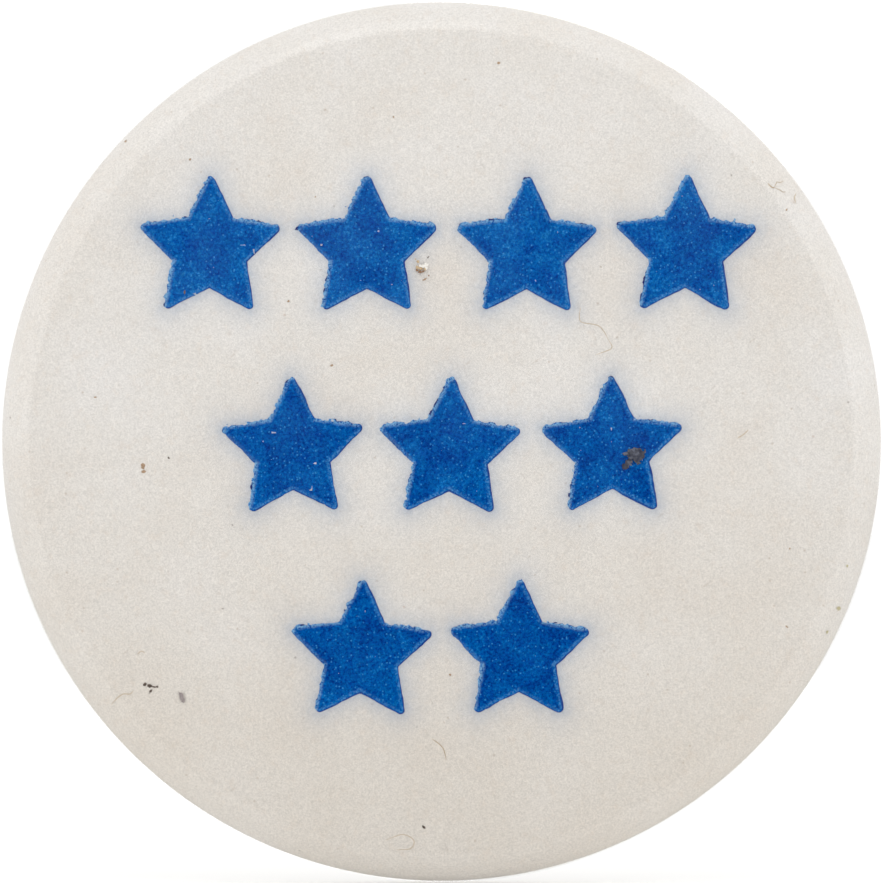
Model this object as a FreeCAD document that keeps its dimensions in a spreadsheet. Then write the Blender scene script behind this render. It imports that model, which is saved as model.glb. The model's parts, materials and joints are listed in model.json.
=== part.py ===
import FreeCAD, Part
import os
from math import acos, asin, atan2, cos, degrees, pi, radians, sin, sqrt

import Sketcher

# A round pin-back button badge, 31.75 mm across, standing as it is worn: the face looks along -Y, the back
# along +Y, +X is to the right and +Z is up. The origin is the centre of the badge's outer box.
#
# Front to back it is a clear film, a printed paper and a domed tinplate shell. The film and the paper wrap
# round the shell's rim and tuck in behind it. A liner paper lies in the dome. A tinplate collet ring is
# pressed in from behind: its flared flange holds the tucked edges, and its flat part keeps the spring pin in.
#
# Every sheet piece is one open sketch, the sheet's outer line from the axis or edge to its end, thickened
# inward by the sheet's thickness and revolved about Y. The sketches of the film, the paper and the shell
# share two centres, the dome's and the rim's, so the layers stay parallel.

doc = FreeCAD.newDocument("ButtonBadge")

DIMENSIONS = {
    # the badge as a whole
    "badge_diameter": 31.75,
    "front_apex": -1.983,  # where the middle of the face lies on Y, which puts the origin mid-depth
    "dome_radius": 80.0,  # of the face, outside the film
    "rim_radius": 1.5,  # of the rounded rim, outside the film
    "layer_gap": 0.02,  # between one sheet and the next
    # sheet thicknesses
    "film_thickness": 0.2,
    "paper_thickness": 0.12,
    "tinplate_thickness": 0.25,
    # how far the sheets go round the rim: angles about the rim's centre, 0 at the widest point
    "shell_end_angle": 40.0,
    "tuck_end_angle": -30.0,
    # liner paper
    "liner_radius": 12.4,
    # collet ring
    "flange_front_radius": 14.87,
    "flange_front_y": 0.847,
    "flange_lean": 23.5,  # degrees off the Y axis
    "collet_bend_radius": 0.45,
    "collet_back_y": 1.922,
    "collet_opening_radius": 9.8,
    "lip_bend_radius": 0.35,
    "lip_straight": 0.15,
    # spring pin
    "wire_radius": 0.4,
    "wire_y": 0.617,
    "ring_radius": 13.4,
    "ring_sweep": 295.0,
    "elbow_radius": 2.0,
    "elbow_set": 3.0,  # degrees between the elbow's straight run and the arm
    "arm_pivot_x": 9.2,
    "arm_length": 18.55,
    "point_length": 2.6,
    "point_radius": 0.03,
    "pivot_cup_radius": 0.57,
}

sheet = doc.addObject("Spreadsheet::Sheet", "Dims")
for row, (alias, value) in enumerate(DIMENSIONS.items(), start=1):
    sheet.set(f"A{row}", alias)
    sheet.set(f"B{row}", str(value))
    sheet.setAlias(f"B{row}", alias)
doc.recompute()


def dim(alias):
    """A driving dimension, read from the sheet."""
    return float(sheet.get(alias))


def bound(text):
    """An expression with every alias in it spelled as a cell of the sheet."""
    words = []
    for word in text.split():
        words.append(f"Dims.{word}" if word in DIMENSIONS else word)
    return " ".join(words)


def vec(x, y):
    return FreeCAD.Vector(x, y, 0)


# ---------------------------------------------------------------- sketch helpers

NORMAL = FreeCAD.Vector(0, 0, 1)
START, END, CENTRE = 1, 2, 3  # how a constraint names the points of a line or an arc
ORIGIN = (-1, 1)
X_AXIS, Y_AXIS = -1, -2


class Profile:
    """A sketch whose lines and arcs are added where they belong and then tied down with bound constraints."""

    def __init__(self, sketch):
        self.sketch = sketch

    def arc(self, centre, radius, start_angle, end_angle):
        circle = Part.Circle(centre, NORMAL, radius)
        return self.sketch.addGeometry(Part.ArcOfCircle(circle, start_angle, end_angle))

    def line(self, start, end, construction=False):
        return self.sketch.addGeometry(Part.LineSegment(start, end), construction)

    def circle(self, centre, radius):
        return self.sketch.addGeometry(Part.Circle(centre, NORMAL, radius))

    def tie(self, kind, *where):
        self.sketch.addConstraint(Sketcher.Constraint(kind, *where))

    def size(self, expression, value, kind, *where):
        """A dimension with its starting value, bound to the sheet."""
        index = self.sketch.addConstraint(Sketcher.Constraint(kind, *where, value))
        self.sketch.setExpression(f"Constraints[{index}]", bound(expression))

    def spoke(self, centre_of, arc, which_end, expression, angle):
        """Fixes an arc's end at an angle about its centre, with a construction line from the one to the other."""
        radius = self.sketch.Geometry[arc].Radius
        centre = self.sketch.Geometry[arc].Center
        line = self.line(centre, centre + vec(radius * cos(angle), radius * sin(angle)), True)
        self.tie("Coincident", line, START, centre_of, CENTRE)
        self.tie("Coincident", line, END, arc, which_end)
        self.size(expression, angle, "Angle", line)


def free_sketch(name):
    """A sketch on the XY plane, for an open outline that becomes a revolved sheet."""
    return Profile(doc.addObject("Sketcher::SketchObject", name))


def plane_of(body, role):
    for feature in body.Origin.OriginFeatures:
        if feature.Role == role:
            return feature
    raise LookupError(role)


def body_sketch(body, name, role):
    """A sketch inside a body, on one of the body's own origin planes."""
    sketch = body.newObject("Sketcher::SketchObject", name)
    sketch.AttachmentSupport = [(plane_of(body, role), "")]
    sketch.MapMode = "FlatFace"
    return Profile(sketch)


# ---------------------------------------------------------------- revolved sheets


def revolved_sheet(node, profile, inward):
    """Thickens an open outline to its inner side, by the signed offset given, and revolves it about Y."""
    section = doc.addObject("Part::Offset2D", f"{node}_section")
    section.Source = profile.sketch
    section.Mode = "Skin"
    section.Fill = True
    section.setExpression("Value", bound(inward))
    solid = doc.addObject("Part::Revolution", node)
    solid.Label = node
    solid.Source = section
    solid.Axis = FreeCAD.Vector(0, 1, 0)
    solid.Angle = 360
    solid.Solid = True
    return solid


def dome_centre_y():
    return dim("front_apex") + dim("dome_radius")


def rim_centre():
    """The centre of the rim's arcs: a full rim radius in from the badge's edge, and tangent to the dome."""
    x = dim("badge_diameter") / 2 - dim("rim_radius")
    reach = dim("dome_radius") - dim("rim_radius")
    return vec(x, dome_centre_y() - sqrt(reach**2 - x**2))


RIM_X = "badge_diameter / 2 - rim_radius"


def dome_and_rim(profile, depth, depth_value, rim_end):
    """The outer line of a layer that lies a given depth under the film's outside: its dome and its rim."""
    centre = rim_centre()
    dome_y = dome_centre_y()
    meeting = atan2(centre.y - dome_y, centre.x)
    dome = profile.arc(vec(0, dome_y), dim("dome_radius") - depth_value, -pi / 2, meeting)
    rim = profile.arc(centre, dim("rim_radius") - depth_value, meeting, rim_end)
    profile.tie("PointOnObject", dome, START, Y_AXIS)
    profile.tie("PointOnObject", dome, CENTRE, Y_AXIS)
    profile.size(f"front_apex + {depth}", dim("front_apex") + depth_value, "DistanceY", *ORIGIN, dome, START)
    profile.size(f"dome_radius - ( {depth} )", dim("dome_radius") - depth_value, "Radius", dome)
    profile.tie("Tangent", dome, END, rim, START)
    profile.size(f"rim_radius - ( {depth} )", dim("rim_radius") - depth_value, "Radius", rim)
    profile.size(RIM_X, centre.x, "DistanceX", *ORIGIN, rim, CENTRE)
    profile.spoke(rim, rim, END, "shell_end_angle", rim_end)
    return rim


# how deep each layer's outer side lies under the film's outer side
PAPER_DEPTH = "film_thickness + layer_gap"
SHELL_DEPTH = "film_thickness + paper_thickness + 2 * layer_gap"
LINER_DEPTH = "film_thickness + paper_thickness + tinplate_thickness + 3 * layer_gap"
NO_DEPTH = "0 * layer_gap"


def layer_value(*thicknesses):
    return sum(dim(name) + dim("layer_gap") for name in thicknesses)


def wrapped_layer(node, inward, depth, depth_value):
    """The film or the paper: over the dome, round the rim, over the shell's edge and back inside it.

    The fold over the shell's edge is a half circle about the middle of that edge, and the tuck inside
    is an arc about the rim's centre again."""
    profile = free_sketch(f"{node}_outline")
    end_angle = radians(dim("shell_end_angle"))
    rim = dome_and_rim(profile, depth, depth_value, end_angle)
    edge_reach = dim("rim_radius") - layer_value("film_thickness", "paper_thickness")
    edge_reach -= dim("tinplate_thickness") / 2
    fold_radius = dim("rim_radius") - depth_value - edge_reach
    centre = rim_centre()
    fold_centre = centre + vec(edge_reach * cos(end_angle), edge_reach * sin(end_angle))
    fold = profile.arc(fold_centre, fold_radius, end_angle, end_angle + pi)
    profile.tie("Tangent", rim, END, fold, START)
    shell_middle = f"( {SHELL_DEPTH} + tinplate_thickness / 2 )"
    profile.size(f"{shell_middle} - ( {depth} )", fold_radius, "Radius", fold)
    tuck_angle = radians(dim("tuck_end_angle"))
    tuck = profile.arc(centre, edge_reach - fold_radius, tuck_angle, end_angle)
    profile.tie("Tangent", fold, END, tuck, END)
    profile.tie("Coincident", tuck, CENTRE, rim, CENTRE)
    profile.spoke(rim, tuck, START, "tuck_end_angle", tuck_angle)
    return revolved_sheet(node, profile, inward)


def celluloid_cover():
    return wrapped_layer("celluloid_cover", "-1 * film_thickness", NO_DEPTH, 0)


def printed_paper():
    return wrapped_layer("printed_paper", "-1 * paper_thickness", PAPER_DEPTH, layer_value("film_thickness"))


def front_shell():
    """The pressed dome. Its rim turns in past the widest point and ends in a raw edge."""
    profile = free_sketch("front_shell_outline")
    depth_value = layer_value("film_thickness", "paper_thickness")
    dome_and_rim(profile, SHELL_DEPTH, depth_value, radians(dim("shell_end_angle")))
    return revolved_sheet("front_shell", profile, "-1 * tinplate_thickness")


def back_paper():
    """The liner: a plain disc that takes the dome's curve."""
    profile = free_sketch("back_paper_outline")
    depth_value = layer_value("film_thickness", "paper_thickness", "tinplate_thickness")
    radius = dim("dome_radius") - depth_value
    edge_angle = -acos(dim("liner_radius") / radius)
    dome = profile.arc(vec(0, dome_centre_y()), radius, -pi / 2, edge_angle)
    profile.tie("PointOnObject", dome, START, Y_AXIS)
    profile.tie("PointOnObject", dome, CENTRE, Y_AXIS)
    apex = dim("front_apex") + depth_value
    profile.size(f"front_apex + {LINER_DEPTH}", apex, "DistanceY", *ORIGIN, dome, START)
    profile.size(f"dome_radius - ( {LINER_DEPTH} )", radius, "Radius", dome)
    profile.size("liner_radius", dim("liner_radius"), "DistanceX", *ORIGIN, dome, END)
    # the offset of a lone arc counts the other way round from that of a chain
    return revolved_sheet("back_paper", profile, "paper_thickness")


def collet_ring():
    """The back ring: a flange that leans out towards the front, a bend, a flat ring and a small forward lip."""
    profile = free_sketch("collet_ring_outline")
    lean = radians(dim("flange_lean"))
    bend = dim("collet_bend_radius")
    lip_bend = dim("lip_bend_radius")
    back_y = dim("collet_back_y")
    opening = dim("collet_opening_radius")

    # the bend touches the back plane from the front, and the leaning flange touches the bend
    bend_y = back_y - bend
    touch = vec(bend * cos(lean), bend * sin(lean))
    front = vec(dim("flange_front_radius"), dim("flange_front_y"))
    flange_rise = bend_y + touch.y - front.y
    flange_end = front + vec(-flange_rise * sin(lean) / cos(lean), flange_rise)
    bend_centre = flange_end - touch
    lip_centre = vec(opening + lip_bend, back_y - lip_bend)

    flange = profile.line(front, flange_end)
    outer_bend = profile.arc(bend_centre, bend, lean, pi / 2)
    flat = profile.line(vec(bend_centre.x, back_y), vec(lip_centre.x, back_y))
    inner_bend = profile.arc(lip_centre, lip_bend, pi / 2, pi)
    lip_end = vec(opening, lip_centre.y - dim("lip_straight"))
    lip = profile.line(vec(opening, lip_centre.y), lip_end)

    profile.tie("Tangent", flange, END, outer_bend, START)
    profile.tie("Tangent", outer_bend, END, flat, START)
    profile.tie("Tangent", flat, END, inner_bend, START)
    profile.tie("Tangent", inner_bend, END, lip, START)
    profile.tie("Horizontal", flat)
    profile.tie("Vertical", lip)
    profile.size("flange_front_radius", front.x, "DistanceX", *ORIGIN, flange, START)
    profile.size("flange_front_y", front.y, "DistanceY", *ORIGIN, flange, START)
    profile.size("90 + flange_lean", pi / 2 + lean, "Angle", flange)
    profile.size("collet_bend_radius", bend, "Radius", outer_bend)
    profile.size("collet_back_y", back_y, "DistanceY", *ORIGIN, flat, START)
    profile.size("lip_bend_radius", lip_bend, "Radius", inner_bend)
    profile.size("collet_opening_radius", opening, "DistanceX", *ORIGIN, lip, START)
    profile.size("lip_straight", dim("lip_straight"), "DistanceY", lip, END, lip, START)
    return revolved_sheet("collet_ring", profile, "-1 * tinplate_thickness")


# ---------------------------------------------------------------- spring pin


def bend_past_square():
    """How far the elbow's bend goes past a right angle, for its straight run to end on the X axis."""
    side_step = dim("elbow_radius") - dim("arm_pivot_x") * sin(radians(dim("elbow_set")))
    return asin(side_step / (dim("ring_radius") - dim("elbow_radius")))


def turn_to_elbow():
    """The angle, seen along Y, between the arm and the line from the badge's axis to the ring's working end."""
    return radians(dim("elbow_set")) + bend_past_square()


SIDE_STEP = "( elbow_radius - arm_pivot_x * sin( elbow_set * 1 deg ) )"
BEND_PAST_SQUARE = f"asin( {SIDE_STEP} / ( ring_radius - elbow_radius ) )"
TURN_TO_ELBOW = f"( elbow_set * 1 deg + {BEND_PAST_SQUARE} )"


def wire_body(node):
    body = doc.addObject("PartDesign::Body", node)
    body.Label = node
    return body


def turned_placement(body):
    """Stands a wire body at the wire's level, with its X axis through the ring's working end."""
    place = FreeCAD.Vector(0, dim("wire_y"), 0)
    turn = FreeCAD.Rotation(FreeCAD.Vector(0, 1, 0), degrees(turn_to_elbow()))
    body.Placement = FreeCAD.Placement(place, turn)
    body.setExpression("Placement.Base.y", bound("wire_y"))
    body.setExpression("Placement.Rotation.Angle", bound(TURN_TO_ELBOW))


def sphere(body, kind, name, radius, x, x_value, z="0", z_value=0.0):
    """A ball added to a wire's end, or a cup cut into it, with its centre at (x, 0, z) in the body."""
    ball = body.newObject(f"PartDesign::{kind}Sphere", name)
    ball.Placement = FreeCAD.Placement(FreeCAD.Vector(x_value, 0, z_value), FreeCAD.Rotation())
    ball.setExpression("Radius", bound(radius))
    ball.setExpression("Placement.Base.x", bound(x))
    ball.setExpression("Placement.Base.z", bound(z))
    return ball


def wire_section(body, name):
    """The wire's round section where the ring's working end is."""
    profile = body_sketch(body, name, "XY_Plane")
    section = profile.circle(vec(dim("ring_radius"), 0), dim("wire_radius"))
    profile.tie("PointOnObject", section, CENTRE, X_AXIS)
    profile.size("ring_radius", dim("ring_radius"), "DistanceX", *ORIGIN, section, CENTRE)
    profile.size("wire_radius", dim("wire_radius"), "Radius", section)
    return profile.sketch


def pin_ring():
    """The open ring of the spring pin. Its working end is a ball, about which the elbow bends."""
    body = wire_body("pin_ring")
    section = wire_section(body, "ring_section")
    ring = body.newObject("PartDesign::Revolution", "ring_wire")
    ring.Profile = section
    ring.ReferenceAxis = (section, ["V_Axis"])
    ring.setExpression("Angle", bound("ring_sweep"))
    sphere(body, "Additive", "ring_ball", "wire_radius", "ring_radius", dim("ring_radius"))
    turned_placement(body)
    return body


def pin_elbow():
    """The elbow: from the ring's working end it bends inward and runs straight to the arm's pivot.

    The run isn't quite in line with the arm: the wire keeps a slight set there."""
    body = wire_body("pin_elbow")
    section = wire_section(body, "elbow_section")
    radius = dim("elbow_radius")
    centre_x = dim("ring_radius") - radius
    sweep = pi / 2 + bend_past_square()
    straight = centre_x * cos(bend_past_square()) - dim("arm_pivot_x") * cos(radians(dim("elbow_set")))

    # seen on the XZ plane: the bend starts on the X axis, and the straight runs on from its end
    spine = body_sketch(body, "elbow_spine", "XZ_Plane")
    bend_end = vec(centre_x + radius * cos(sweep), radius * sin(sweep))
    arm_direction = sweep + pi / 2
    pivot = bend_end + vec(straight * cos(arm_direction), straight * sin(arm_direction))
    bend = spine.arc(vec(centre_x, 0), radius, 0, sweep)
    run = spine.line(bend_end, pivot)
    spine.tie("PointOnObject", bend, CENTRE, X_AXIS)
    spine.tie("PointOnObject", bend, START, X_AXIS)
    spine.size("ring_radius - elbow_radius", centre_x, "DistanceX", *ORIGIN, bend, CENTRE)
    spine.size("elbow_radius", radius, "Radius", bend)
    spine.tie("Tangent", bend, END, run, START)
    spine.spoke(bend, bend, END, f"90 deg + {BEND_PAST_SQUARE}", sweep)
    from_bend = f"( ring_radius - elbow_radius ) * cos( {BEND_PAST_SQUARE} )"
    spine.size(f"{from_bend} - arm_pivot_x * cos( elbow_set * 1 deg )", straight, "Distance", run)

    wire = body.newObject("PartDesign::AdditivePipe", "elbow_wire")
    wire.Profile = section
    wire.Spine = (spine.sketch, ["Edge1", "Edge2"])

    # the pivot, in the body's turned frame
    pivot_x = f"arm_pivot_x * cos( {TURN_TO_ELBOW} )"
    pivot_z = f"arm_pivot_x * sin( {TURN_TO_ELBOW} )"
    sphere(body, "Additive", "elbow_ball", "wire_radius", pivot_x, pivot.x, pivot_z, pivot.y)
    sphere(body, "Subtractive", "elbow_cup", "pivot_cup_radius", "ring_radius", dim("ring_radius"))
    turned_placement(body)
    return body


def pin_arm():
    """The straight arm with its ground point. It starts in a cup that clears the elbow's ball as it turns."""
    body = wire_body("pin_arm")
    cup = dim("pivot_cup_radius")
    wire = dim("wire_radius")
    length = dim("arm_length")
    shank_end = length - dim("point_length")
    tip = dim("point_radius")
    cup_edge = sqrt(cup**2 - wire**2)
    drop = wire - tip
    point_arc = (dim("point_length") ** 2 + drop**2) / (2 * drop)
    point_angle = asin(dim("point_length") / point_arc)

    # half the section, along -X from the pivot, revolved about the wire's own axis
    half = body_sketch(body, "arm_half_section", "XY_Plane")
    cup_arc = half.arc(vec(0, 0), cup, pi - asin(wire / cup), pi)
    shank = half.line(vec(-cup_edge, wire), vec(-shank_end, wire))
    point = half.arc(vec(-shank_end, wire - point_arc), point_arc, pi / 2, pi / 2 + point_angle)
    end = half.line(vec(-length, tip), vec(-length, 0))
    axis = half.line(vec(-length, 0), vec(-cup, 0))
    half.tie("Coincident", cup_arc, CENTRE, *ORIGIN)
    half.tie("Coincident", cup_arc, START, shank, START)
    half.tie("Horizontal", shank)
    half.tie("Tangent", shank, END, point, START)
    half.tie("Coincident", point, END, end, START)
    half.tie("Vertical", end)
    half.tie("Coincident", end, END, axis, START)
    half.tie("Coincident", axis, END, cup_arc, END)
    half.tie("PointOnObject", end, END, X_AXIS)
    half.tie("PointOnObject", cup_arc, END, X_AXIS)
    half.size("pivot_cup_radius", cup, "Radius", cup_arc)
    half.size("wire_radius", wire, "DistanceY", *ORIGIN, shank, START)
    half.size("point_length", dim("point_length"), "DistanceX", end, START, shank, END)
    half.size("arm_length", length, "DistanceX", end, END, *ORIGIN)
    half.size("point_radius", tip, "DistanceY", end, END, end, START)

    arm = body.newObject("PartDesign::Revolution", "arm_wire")
    arm.Profile = half.sketch
    arm.ReferenceAxis = (half.sketch, ["H_Axis"])
    arm.Angle = 360
    body.Placement = FreeCAD.Placement(
        FreeCAD.Vector(dim("arm_pivot_x"), dim("wire_y"), 0), FreeCAD.Rotation()
    )
    body.setExpression("Placement.Base.x", bound("arm_pivot_x"))
    body.setExpression("Placement.Base.y", bound("wire_y"))
    return body


# ---------------------------------------------------------------- build, check and export

MAKERS = (
    celluloid_cover,
    printed_paper,
    front_shell,
    back_paper,
    collet_ring,
    pin_ring,
    pin_elbow,
    pin_arm,
)
sub_parts = [make() for make in MAKERS]
doc.recompute()

for item in doc.Objects:
    broken = [state for state in item.State if state in ("Invalid", "Error")]
    if broken:
        raise RuntimeError(f"{item.Name} is {broken}")

for sub_part in sub_parts:
    shape = sub_part.Shape
    if shape.isNull() or not shape.isValid() or len(shape.Solids) != 1:
        raise RuntimeError(f"{sub_part.Label} isn't one valid solid")

os.makedirs("parts", exist_ok=True)
for sub_part in sub_parts:
    sub_part.Shape.exportStep(f"parts/{sub_part.Label}.step")
    box = sub_part.Shape.BoundBox
    print(
        f"{sub_part.Label}: {sub_part.Shape.Volume:.2f} mm3, X {box.XMin:.3f} to {box.XMax:.3f},"
        f" Y {box.YMin:.3f} to {box.YMax:.3f}, Z {box.ZMin:.3f} to {box.ZMax:.3f}"
    )
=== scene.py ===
import json
from math import asin, atan2, cos, hypot, pi, radians, sin, sqrt

import bmesh
import bpy
import numpy as np
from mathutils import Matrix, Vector


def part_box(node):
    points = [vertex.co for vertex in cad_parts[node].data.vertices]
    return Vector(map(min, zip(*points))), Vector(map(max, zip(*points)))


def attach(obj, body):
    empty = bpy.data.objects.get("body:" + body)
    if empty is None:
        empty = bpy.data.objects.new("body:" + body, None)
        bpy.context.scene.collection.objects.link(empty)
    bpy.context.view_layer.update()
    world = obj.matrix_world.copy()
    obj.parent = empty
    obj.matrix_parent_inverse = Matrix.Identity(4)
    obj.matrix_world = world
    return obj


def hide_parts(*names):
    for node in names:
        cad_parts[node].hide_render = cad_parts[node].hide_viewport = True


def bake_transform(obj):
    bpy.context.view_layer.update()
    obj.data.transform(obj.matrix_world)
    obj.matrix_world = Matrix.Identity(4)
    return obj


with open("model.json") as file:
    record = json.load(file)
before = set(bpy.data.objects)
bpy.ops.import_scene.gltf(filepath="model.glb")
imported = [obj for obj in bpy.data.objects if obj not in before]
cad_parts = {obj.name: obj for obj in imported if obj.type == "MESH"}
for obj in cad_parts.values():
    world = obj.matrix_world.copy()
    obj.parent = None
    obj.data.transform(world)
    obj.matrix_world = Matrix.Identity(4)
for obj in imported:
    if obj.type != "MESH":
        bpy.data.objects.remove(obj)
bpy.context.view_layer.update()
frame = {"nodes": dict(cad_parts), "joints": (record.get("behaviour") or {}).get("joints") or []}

# A round pin-back button badge. The face looks along -Y and the back along +Y. The film, the printed paper
# and the spring pin are remade here with finer shapes. The tinplate pieces and the liner keep their CAD
# meshes. Sizes are in millimetres until a mesh is made.

MM = 0.001
CREASE = radians(35)  # faces that meet more sharply than this are shaded apart

# the sheets, as in the CAD model
DOME_RADIUS = 80.0
RIM_RADIUS = 1.5
FILM = 0.2
PAPER = 0.12
TINPLATE = 0.25
GAP = 0.02
SHELL_END = radians(40)
TUCK_END = radians(-30)
SHELL_MIDDLE = FILM + PAPER + 2 * GAP + TINPLATE / 2  # depths are counted from the film's outside

# a clear film bends light, so that the paper under it seems to reach the badge's very edge: here the film is
# thin and the paper thicker by as much, which looks the same
SHOWN_FILM = 0.04
SHOWN_DEPTH = SHOWN_FILM + GAP
SHOWN_PAPER = FILM + PAPER - SHOWN_FILM

EDGE_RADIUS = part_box("celluloid_cover")[1].x / MM
APEX_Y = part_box("celluloid_cover")[0].y / MM
DOME_Y = APEX_Y + DOME_RADIUS
RIM_R = EDGE_RADIUS - RIM_RADIUS
RIM_Y = DOME_Y - sqrt((DOME_RADIUS - RIM_RADIUS) ** 2 - RIM_R**2)

# the spring pin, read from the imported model
JOINT_AT = {j["name"]: Vector(j["pos_m"]) / MM for j in frame["joints"]}
BEND_HINGE = JOINT_AT["pin_latch"]
ARM_HINGE = JOINT_AT["pin_raise"]
WIRE_Y = ARM_HINGE.y
WIRE_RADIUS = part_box("pin_arm")[1].z / MM
TIP_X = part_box("pin_arm")[0].x / MM
RING_RADIUS = hypot(BEND_HINGE.x, BEND_HINGE.z)
ELBOW_RADIUS = 2.0
RING_SWEEP = radians(295)
POINT_LENGTH = 2.6
POINT_RADIUS = 0.03
WIRE_SIDES = 40

# the print: rows of stars, as height of the row, middle of the row, number of stars and how pale they are
STAR_ROWS = ((6.86, 0.2, 4, 0.3), (-0.34, 0.35, 3, 0.05), (-7.55, -0.05, 2, 0.0))
STAR_PITCH = 5.7
STAR_RADIUS = 2.76
STAR_NOTCH = 0.5  # inner radius as a share of the outer
STAR_ROUNDING = 0.16
PRINT_STEP = 0.05
PRINT_TOP = SHOWN_DEPTH - 0.011
PRINT_BOTTOM = SHOWN_DEPTH - 0.0015

# the marks of age: the size of a stain's cells, and the middle of the chip that lies on the film
STAIN_STEP = 0.014
CHIP_X = -0.66
CHIP_Z = 6.25


# ---------------------------------------------------------------- meshes


def mesh_piece(name, points, faces, look):
    """A smooth-shaded mesh object from points in millimetres, creased where its faces meet sharply."""
    mesh = bpy.data.meshes.new(name)
    mesh.from_pydata((np.asarray(points, float) * MM).tolist(), [], faces)
    mesh.polygons.foreach_set("use_smooth", [True] * len(mesh.polygons))
    mesh.set_sharp_from_angle(angle=CREASE)
    mesh.materials.append(look)
    piece = bpy.data.objects.new(name, mesh)
    bpy.context.scene.collection.objects.link(piece)
    return piece


def mark_points(piece, name, values):
    """Stores a number for each point of a mesh, for its material to read."""
    attribute = piece.data.attributes.new(name, "FLOAT", "POINT")
    attribute.data.foreach_set("value", np.asarray(values, np.float32))


def smooth_step(low, high, value):
    share = np.clip((value - low) / (high - low), 0, 1)
    return share * share * (3 - 2 * share)


def lattice_noise(x, z, size, seed):
    """Smooth noise from -1 to 1 over the plane, with features of the given size."""
    table = np.random.default_rng(seed).uniform(-1, 1, (64, 64))
    column, row = np.floor(x / size).astype(int), np.floor(z / size).astype(int)
    across, up = x / size - column, z / size - row
    across, up = across * across * (3 - 2 * across), up * up * (3 - 2 * up)
    here, right = table[row % 64, column % 64], table[row % 64, (column + 1) % 64]
    above, corner = table[(row + 1) % 64, column % 64], table[(row + 1) % 64, (column + 1) % 64]
    return (here * (1 - across) + right * across) * (1 - up) + (above * (1 - across) + corner * across) * up


def face_y(x, z, depth):
    """Where a surface lies on Y that is a given depth under the film's outside, on the dome or the rim."""
    reach = np.hypot(x, z)
    dome = DOME_Y - np.sqrt((DOME_RADIUS - depth) ** 2 - reach**2)
    rim = RIM_Y - np.sqrt(np.maximum((RIM_RADIUS - depth) ** 2 - np.maximum(reach - RIM_R, 0) ** 2, 0))
    meeting = (DOME_RADIUS - depth) * RIM_R / (DOME_RADIUS - RIM_RADIUS)
    return np.where(reach < meeting, dome, rim)


# ---------------------------------------------------------------- film and paper


def layer_line(depth, steps):
    """The section of the surface a given depth under the film's outside, from the axis round to the hem.

    Each row is the radius, Y, the outward normal's two parts, and how far the hem's pleats reach into it.
    steps are the counts of points on the dome, the rim, the fold over the shell's edge and the tuck."""
    meeting = atan2(RIM_Y - DOME_Y, RIM_R)
    edge_reach = RIM_RADIUS - SHELL_MIDDLE
    fold_at = (RIM_R + edge_reach * cos(SHELL_END), RIM_Y + edge_reach * sin(SHELL_END))
    arcs = (
        # centre, radius, first and last angle, which way is outward, pleats at the start and the end
        ((0, DOME_Y), DOME_RADIUS - depth, -pi / 2, meeting, 1, 0, 0),
        ((RIM_R, RIM_Y), RIM_RADIUS - depth, meeting, SHELL_END, 1, -1.6, 1),
        (fold_at, SHELL_MIDDLE - depth, SHELL_END, SHELL_END + pi, 1, 1, 0.2),
        ((RIM_R, RIM_Y), edge_reach - SHELL_MIDDLE + depth, SHELL_END, TUCK_END, -1, 0.2, 0),
    )
    rows = []
    for (centre, radius, first, last, outward, pleat_first, pleat_last), count in zip(arcs, steps):
        for share in np.linspace(0, 1, count + 1)[1 if rows else 0 :]:
            angle = first + share * (last - first)
            pleat = max(0.0, pleat_first + share * (pleat_last - pleat_first))
            across, along = cos(angle), sin(angle)
            place = (centre[0] + radius * across, centre[1] + radius * along)
            rows.append((*place, outward * across, outward * along, pleat))
    return rows


def pleats(angle):
    """How far the gathered hem stands out round the back, in millimetres: uneven little folds."""
    wandering = 71 * angle + 2.1 * np.sin(3 * angle + 0.4) + 1.3 * np.sin(7 * angle + 2.0)
    strength = 0.45 + 0.35 * np.sin(5 * angle + 1.1) + 0.2 * np.sin(13 * angle)
    return 0.045 * np.clip(strength, 0.05, 1) * (0.5 + 0.5 * np.sin(wandering)) ** 2


def wrapped_sheet(name, outer_depth, thickness, look, outer_steps, inner_steps, segments):
    """The film or the paper as one closed sheet, revolved about Y, with pleats at its hem.

    The steps are the counts of points along its two sections, and segments those round the badge."""
    outer = layer_line(outer_depth, outer_steps)
    inner = layer_line(outer_depth + thickness, inner_steps)[::-1]
    rows = np.array(outer + inner)
    angles = np.arange(segments) * 2 * pi / segments
    lift = rows[1:-1, 4, None] * pleats(angles)
    radius = rows[1:-1, 0, None] + lift * rows[1:-1, 2, None]
    height = rows[1:-1, 1, None] + lift * rows[1:-1, 3, None]
    rings = np.stack([radius * np.cos(angles), height, radius * np.sin(angles)], -1).reshape(-1, 3)
    points = np.vstack([[0, rows[0, 1], 0], rings, [0, rows[-1, 1], 0]])

    ring_count = len(rows) - 2
    start = 1 + np.arange(ring_count - 1)[:, None] * segments + np.arange(segments)
    onward = 1 + np.arange(ring_count - 1)[:, None] * segments + (np.arange(segments) + 1) % segments
    quads = np.stack([start, onward, onward + segments, start + segments], -1).reshape(-1, 4)
    faces = quads.tolist()
    last = 1 + (ring_count - 1) * segments
    for here in range(segments):
        after = (here + 1) % segments
        faces.append((0, 1 + after, 1 + here))
        faces.append((len(points) - 1, last + here, last + after))
    piece = mesh_piece(name, points, faces, look)
    return piece, points


# ---------------------------------------------------------------- print


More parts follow.
